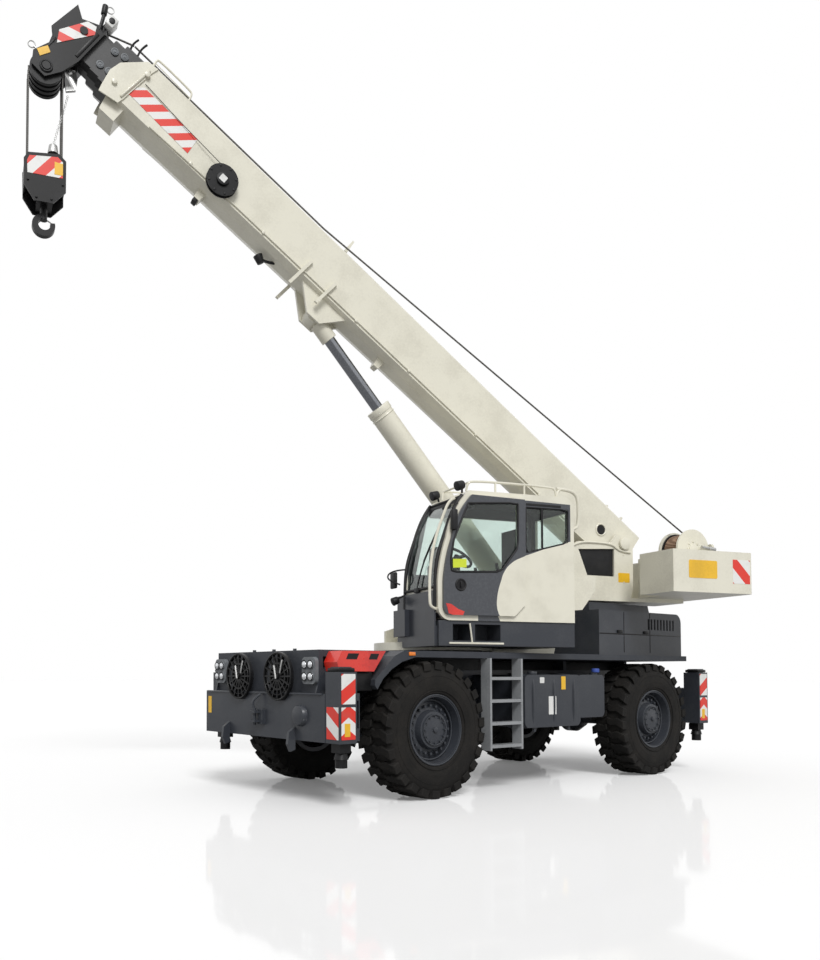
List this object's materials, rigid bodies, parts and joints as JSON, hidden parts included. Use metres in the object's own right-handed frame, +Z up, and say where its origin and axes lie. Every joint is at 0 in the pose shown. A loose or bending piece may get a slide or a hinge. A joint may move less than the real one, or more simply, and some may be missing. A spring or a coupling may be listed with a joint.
{
  "type": "rough-terrain mobile crane",
  "caption": "Rough-terrain mobile crane with a slewing cab, telescopic boom raised by a lift cylinder, hoist winch, hook block and sliding outriggers",
  "frame": {"origin": "centre of the bounding box in plan, on the ground under the tyres", "axes": "+X forward along the carrier, +Y to its left, +Z up"},
  "size_m": [9.1619, 3.8384, 8.8441],
  "materials": {
    "cream_paint": "satin cream paint",
    "dark_steel": "black paint",
    "glass": "tinted glass",
    "grey_paint": "satin anthracite paint",
    "lamp_lens": "lamps with clear lenses on a grey plate",
    "red_paint": "glossy red paint",
    "rod_steel": "ground steel",
    "rope_steel": "greased wire rope",
    "seat_fabric": "woven seat cover",
    "tyre": "tread rubber"
  },
  "bodies": {
    "carrier": {"chassis": "grey_paint", "axles": "grey_paint", "deck": "grey_paint", "red_cover": "red_paint", "hood": "grey_paint", "tanks": "grey_paint", "ladders": "grey_paint", "floats": "dark_steel", "headlamps": "lamp_lens", "slew_ring": "dark_steel"},
    "upper": {"turntable": "cream_paint", "pivot_pins": "dark_steel", "counterweight": "cream_paint", "winch_frame": "cream_paint", "cab_shell": "cream_paint", "cab_glass": "glass", "cab_base": "grey_paint", "cab_seat": "seat_fabric", "side_cabinets": "cream_paint"},
    "winch": {"winch_drum": "dark_steel"},
    "door": {"cab_door": "cream_paint", "door_glass": "glass"},
    "barrel": {"lift_barrel": "cream_paint"},
    "rod": {"lift_rod": "rod_steel"},
    "boom": {"boom_base": "cream_paint", "cable_reel": "dark_steel"},
    "mid_one": {"boom_mid_one": "cream_paint"},
    "mid_two": {"boom_mid_two": "cream_paint"},
    "tip": {"boom_tip": "cream_paint", "boom_head": "grey_paint"},
    "low_sheaves": {"lower_sheaves": "dark_steel"},
    "high_sheaves": {"upper_sheaves": "dark_steel"},
    "block": {"hoist_falls": "rope_steel", "hook_block": "dark_steel"},
    "hook_body": {"hook": "dark_steel"},
    "knuckle_front_left": {"knuckle_front_left": "grey_paint"},
    "wheel_front_left": {"tyre_front_left": "tyre", "rim_front_left": "grey_paint"},
    "knuckle_front_right": {"knuckle_front_right": "grey_paint"},
    "wheel_front_right": {"tyre_front_right": "tyre", "rim_front_right": "grey_paint"},
    "knuckle_rear_left": {"knuckle_rear_left": "grey_paint"},
    "wheel_rear_left": {"tyre_rear_left": "tyre", "rim_rear_left": "grey_paint"},
    "knuckle_rear_right": {"knuckle_rear_right": "grey_paint"},
    "wheel_rear_right": {"tyre_rear_right": "tyre", "rim_rear_right": "grey_paint"},
    "beam_front_left": {"beam_front_left": "grey_paint"},
    "jack_front_left": {"jack_front_left": "rod_steel"},
    "beam_front_right": {"beam_front_right": "grey_paint"},
    "jack_front_right": {"jack_front_right": "rod_steel"},
    "beam_rear_left": {"beam_rear_left": "grey_paint"},
    "jack_rear_left": {"jack_rear_left": "rod_steel"},
    "beam_rear_right": {"beam_rear_right": "grey_paint"},
    "jack_rear_right": {"jack_rear_right": "rod_steel"}
  },
  "joints": [
    {"name": "steer_front_left", "type": "hinge", "parent": "carrier", "child": "knuckle_front_left", "pos_m": [0.861, 0.4034, 0.745], "axis": [0, 0, 1], "range_deg": [-26, 26]},
    {"name": "roll_front_left", "type": "hinge", "parent": "knuckle_front_left", "child": "wheel_front_left", "pos_m": [0.861, 0.7034, 0.745], "axis": [0, 1, 0], "continuous": true},
    {"name": "steer_front_right", "type": "hinge", "parent": "carrier", "child": "knuckle_front_right", "pos_m": [0.861, -1.1966, 0.745], "axis": [0, 0, 1], "range_deg": [-26, 26]},
    {"name": "roll_front_right", "type": "hinge", "parent": "knuckle_front_right", "child": "wheel_front_right", "pos_m": [0.861, -1.4966, 0.745], "axis": [0, 1, 0], "continuous": true},
    {"name": "steer_rear_left", "type": "hinge", "parent": "carrier", "child": "knuckle_rear_left", "pos_m": [-3.189, 0.4034, 0.745], "axis": [0, 0, 1], "range_deg": [-26, 26]},
    {"name": "roll_rear_left", "type": "hinge", "parent": "knuckle_rear_left", "child": "wheel_rear_left", "pos_m": [-3.189, 0.7034, 0.745], "axis": [0, 1, 0], "continuous": true},
    {"name": "steer_rear_right", "type": "hinge", "parent": "carrier", "child": "knuckle_rear_right", "pos_m": [-3.189, -1.1966, 0.745], "axis": [0, 0, 1], "range_deg": [-26, 26]},
    {"name": "roll_rear_right", "type": "hinge", "parent": "knuckle_rear_right", "child": "wheel_rear_right", "pos_m": [-3.189, -1.4966, 0.745], "axis": [0, 1, 0], "continuous": true},
    {"name": "extend_front_left", "type": "slide", "parent": "carrier", "child": "beam_front_left", "axis": [0, 1, 0], "range_m": [0, 1.75]},
    {"name": "lower_front_left", "type": "slide", "parent": "beam_front_left", "child": "jack_front_left", "axis": [0, 0, -1], "range_m": [0, 0.41]},
    {"name": "extend_front_right", "type": "slide", "parent": "carrier", "child": "beam_front_right", "axis": [0, -1, 0], "range_m": [0, 1.75]},
    {"name": "lower_front_right", "type": "slide", "parent": "beam_front_right", "child": "jack_front_right", "axis": [0, 0, -1], "range_m": [0, 0.41]},
    {"name": "extend_rear_left", "type": "slide", "parent": "carrier", "child": "beam_rear_left", "axis": [0, 1, 0], "range_m": [0, 1.75]},
    {"name": "lower_rear_left", "type": "slide", "parent": "beam_rear_left", "child": "jack_rear_left", "axis": [0, 0, -1], "range_m": [0, 0.41]},
    {"name": "extend_rear_right", "type": "slide", "parent": "carrier", "child": "beam_rear_right", "axis": [0, -1, 0], "range_m": [0, 1.75]},
    {"name": "lower_rear_right", "type": "slide", "parent": "beam_rear_right", "child": "jack_rear_right", "axis": [0, 0, -1], "range_m": [0, 0.41]},
    {"name": "slew", "type": "hinge", "parent": "carrier", "child": "upper", "pos_m": [-0.364, -0.3966, 0], "axis": [0, 0, 1], "continuous": true},
    {"name": "winch_turn", "type": "hinge", "parent": "upper", "child": "winch", "pos_m": [-3.92943, 0.59218, 3.06], "axis": [0.2672, 0.9636, 0], "continuous": true},
    {"name": "door_slide", "type": "slide", "parent": "upper", "child": "door", "axis": [-0.9636, 0.2672, 0], "range_m": [0, 0.68]},
    {"name": "luff", "type": "hinge", "parent": "upper", "child": "boom", "pos_m": [-3.06891, 0.35354, 3.132], "axis": [-0.2672, -0.9636, 0], "range_deg": [-36.7, 43.3]},
    {"name": "rod_tilt", "type": "hinge", "parent": "boom", "child": "rod", "pos_m": [1.21907, -0.83562, 5.76282], "axis": [-0.2672, -0.9636, 0], "range_deg": [-1.67, 1.93]},
    {"name": "barrel_stroke", "type": "slide", "parent": "rod", "child": "barrel", "axis": [-0.6188, 0.1716, -0.7666], "range_m": [-1.017, 1.199]},
    {"name": "extend_one", "type": "slide", "parent": "boom", "child": "mid_one", "axis": [0.7726, -0.2143, 0.5976], "range_m": [0, 6.4]},
    {"name": "extend_two", "type": "slide", "parent": "mid_one", "child": "mid_two", "axis": [0.7726, -0.2143, 0.5976], "range_m": [0, 6.4]},
    {"name": "extend_tip", "type": "slide", "parent": "mid_two", "child": "tip", "axis": [0.7726, -0.2143, 0.5976], "range_m": [0, 6.4]},
    {"name": "low_sheaves_turn", "type": "hinge", "parent": "tip", "child": "low_sheaves", "pos_m": [4.31869, -1.69522, 8.05189], "axis": [0.2672, 0.9636, 0], "continuous": true},
    {"name": "high_sheaves_turn", "type": "hinge", "parent": "tip", "child": "high_sheaves", "pos_m": [3.93099, -1.5877, 8.54648], "axis": [0.2672, 0.9636, 0], "continuous": true},
    {"name": "falls_swing", "type": "hinge", "parent": "tip", "child": "block", "pos_m": [4.31869, -1.69522, 8.05189], "axis": [-0.2672, -0.9636, 0], "range_deg": [-43.4, 36.8]},
    {"name": "hook_swivel", "type": "hinge", "parent": "block", "child": "hook_body", "pos_m": [4.31869, -1.69522, 6.53489], "axis": [0, 0, 1], "continuous": true}
  ],
  "couplings": [
    {"joint": "steer_front_right", "follows": "steer_front_left", "ratio": 1},
    {"joint": "steer_rear_right", "follows": "steer_rear_left", "ratio": 1},
    {"joint": "rod_tilt", "follows": "luff", "ratio": 0.04},
    {"joint": "barrel_stroke", "follows": "luff", "m_per_rad": 1.58},
    {"joint": "extend_two", "follows": "extend_one", "ratio": 1},
    {"joint": "extend_tip", "follows": "extend_one", "ratio": 1},
    {"joint": "falls_swing", "follows": "luff", "ratio": -1}
  ]
}
